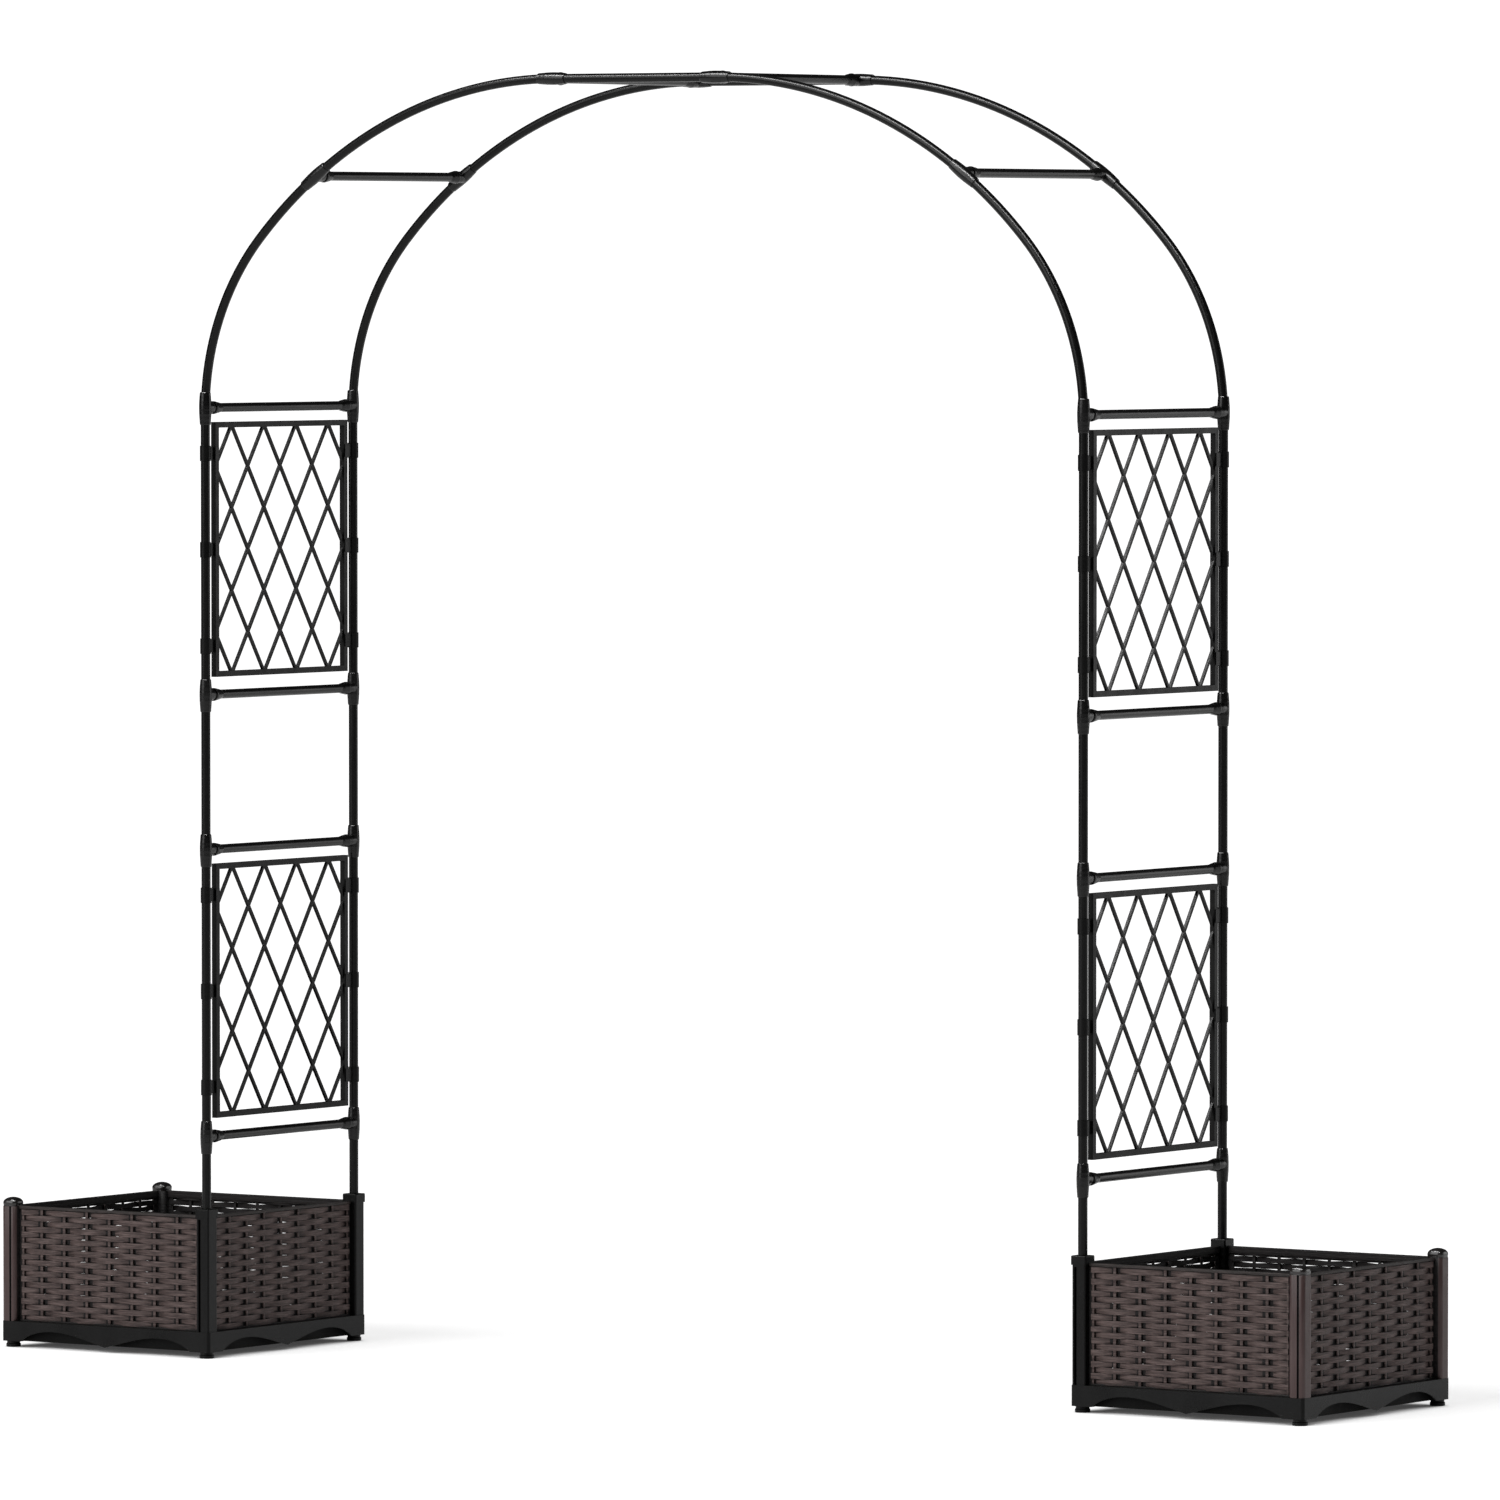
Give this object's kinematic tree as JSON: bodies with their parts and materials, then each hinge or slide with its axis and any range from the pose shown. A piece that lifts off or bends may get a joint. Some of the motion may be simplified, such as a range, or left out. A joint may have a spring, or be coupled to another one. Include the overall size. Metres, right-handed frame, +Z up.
{
  "type": "garden trellis arch",
  "caption": "Free-standing garden arch of black tube with lattice side panels, its feet socketed into a brown woven-look square planter on each side.",
  "frame": {"origin": "on the ground, at the centre of the walkway, midway between the front and rear arches", "axes": "+X across the walkway from one planter to the other, -Y the front, +Z up"},
  "size_m": [2.703, 0.467, 2.2385],
  "materials": {
    "arch_tube": "satin black coating with a fine texture",
    "crossbar": "satin black coating with a fine texture",
    "lattice": "satin black coating",
    "connector": "moulded, satin black",
    "clip": "moulded, satin black",
    "planter_base": "moulded, satin dark grey to black",
    "brown_post": "moulded, satin dark brown",
    "woven_brown": "moulded weave with a fine grain, dark brown"
  },
  "bodies": {
    "root": {"arc_lower_left_front": "arch_tube", "arc_lower_left_rear": "arch_tube", "arc_lower_right_front": "arch_tube", "arc_lower_right_rear": "arch_tube", "arc_upper_left_front": "arch_tube", "arc_upper_left_rear": "arch_tube", "arc_upper_right_front": "arch_tube", "arc_upper_right_rear": "arch_tube", "corner_caps": "brown_post", "corner_posts": "brown_post", "crossbar_left_1": "crossbar", "crossbar_left_2": "crossbar", "crossbar_left_3": "crossbar", "crossbar_left_4": "crossbar", "crossbar_left_arch": "crossbar", "crossbar_left_top": "crossbar", "crossbar_right_1": "crossbar", "crossbar_right_2": "crossbar", "crossbar_right_3": "crossbar", "crossbar_right_4": "crossbar", "crossbar_right_arch": "crossbar", "crossbar_right_top": "crossbar", "lattice_panel_left_lower": "lattice", "lattice_panel_left_upper": "lattice", "lattice_panel_right_lower": "lattice", "lattice_panel_right_upper": "lattice", "panel_clips_left": "clip", "panel_clips_right": "clip", "planter_base_left": "planter_base", "planter_base_right": "planter_base", "socket_collars": "planter_base", "socket_posts": "planter_base", "tee_connectors_arch": "connector", "tee_connectors_sides": "connector", "tube_foot_left_front": "arch_tube", "tube_foot_left_rear": "arch_tube", "tube_foot_right_front": "arch_tube", "tube_foot_right_rear": "arch_tube", "tube_lower_left_front": "arch_tube", "tube_lower_left_rear": "arch_tube", "tube_lower_right_front": "arch_tube", "tube_lower_right_rear": "arch_tube", "tube_middle_left_front": "arch_tube", "tube_middle_left_rear": "arch_tube", "tube_middle_right_front": "arch_tube", "tube_middle_right_rear": "arch_tube", "tube_top_front": "arch_tube", "tube_top_rear": "arch_tube", "tube_upper_left_front": "arch_tube", "tube_upper_left_rear": "arch_tube", "tube_upper_right_front": "arch_tube", "tube_upper_right_rear": "arch_tube", "woven_left_front": "woven_brown", "woven_left_inner": "woven_brown", "woven_left_outer": "woven_brown", "woven_left_rear": "woven_brown", "woven_right_front": "woven_brown", "woven_right_inner": "woven_brown", "woven_right_outer": "woven_brown", "woven_right_rear": "woven_brown"}
  },
  "joints": []
}
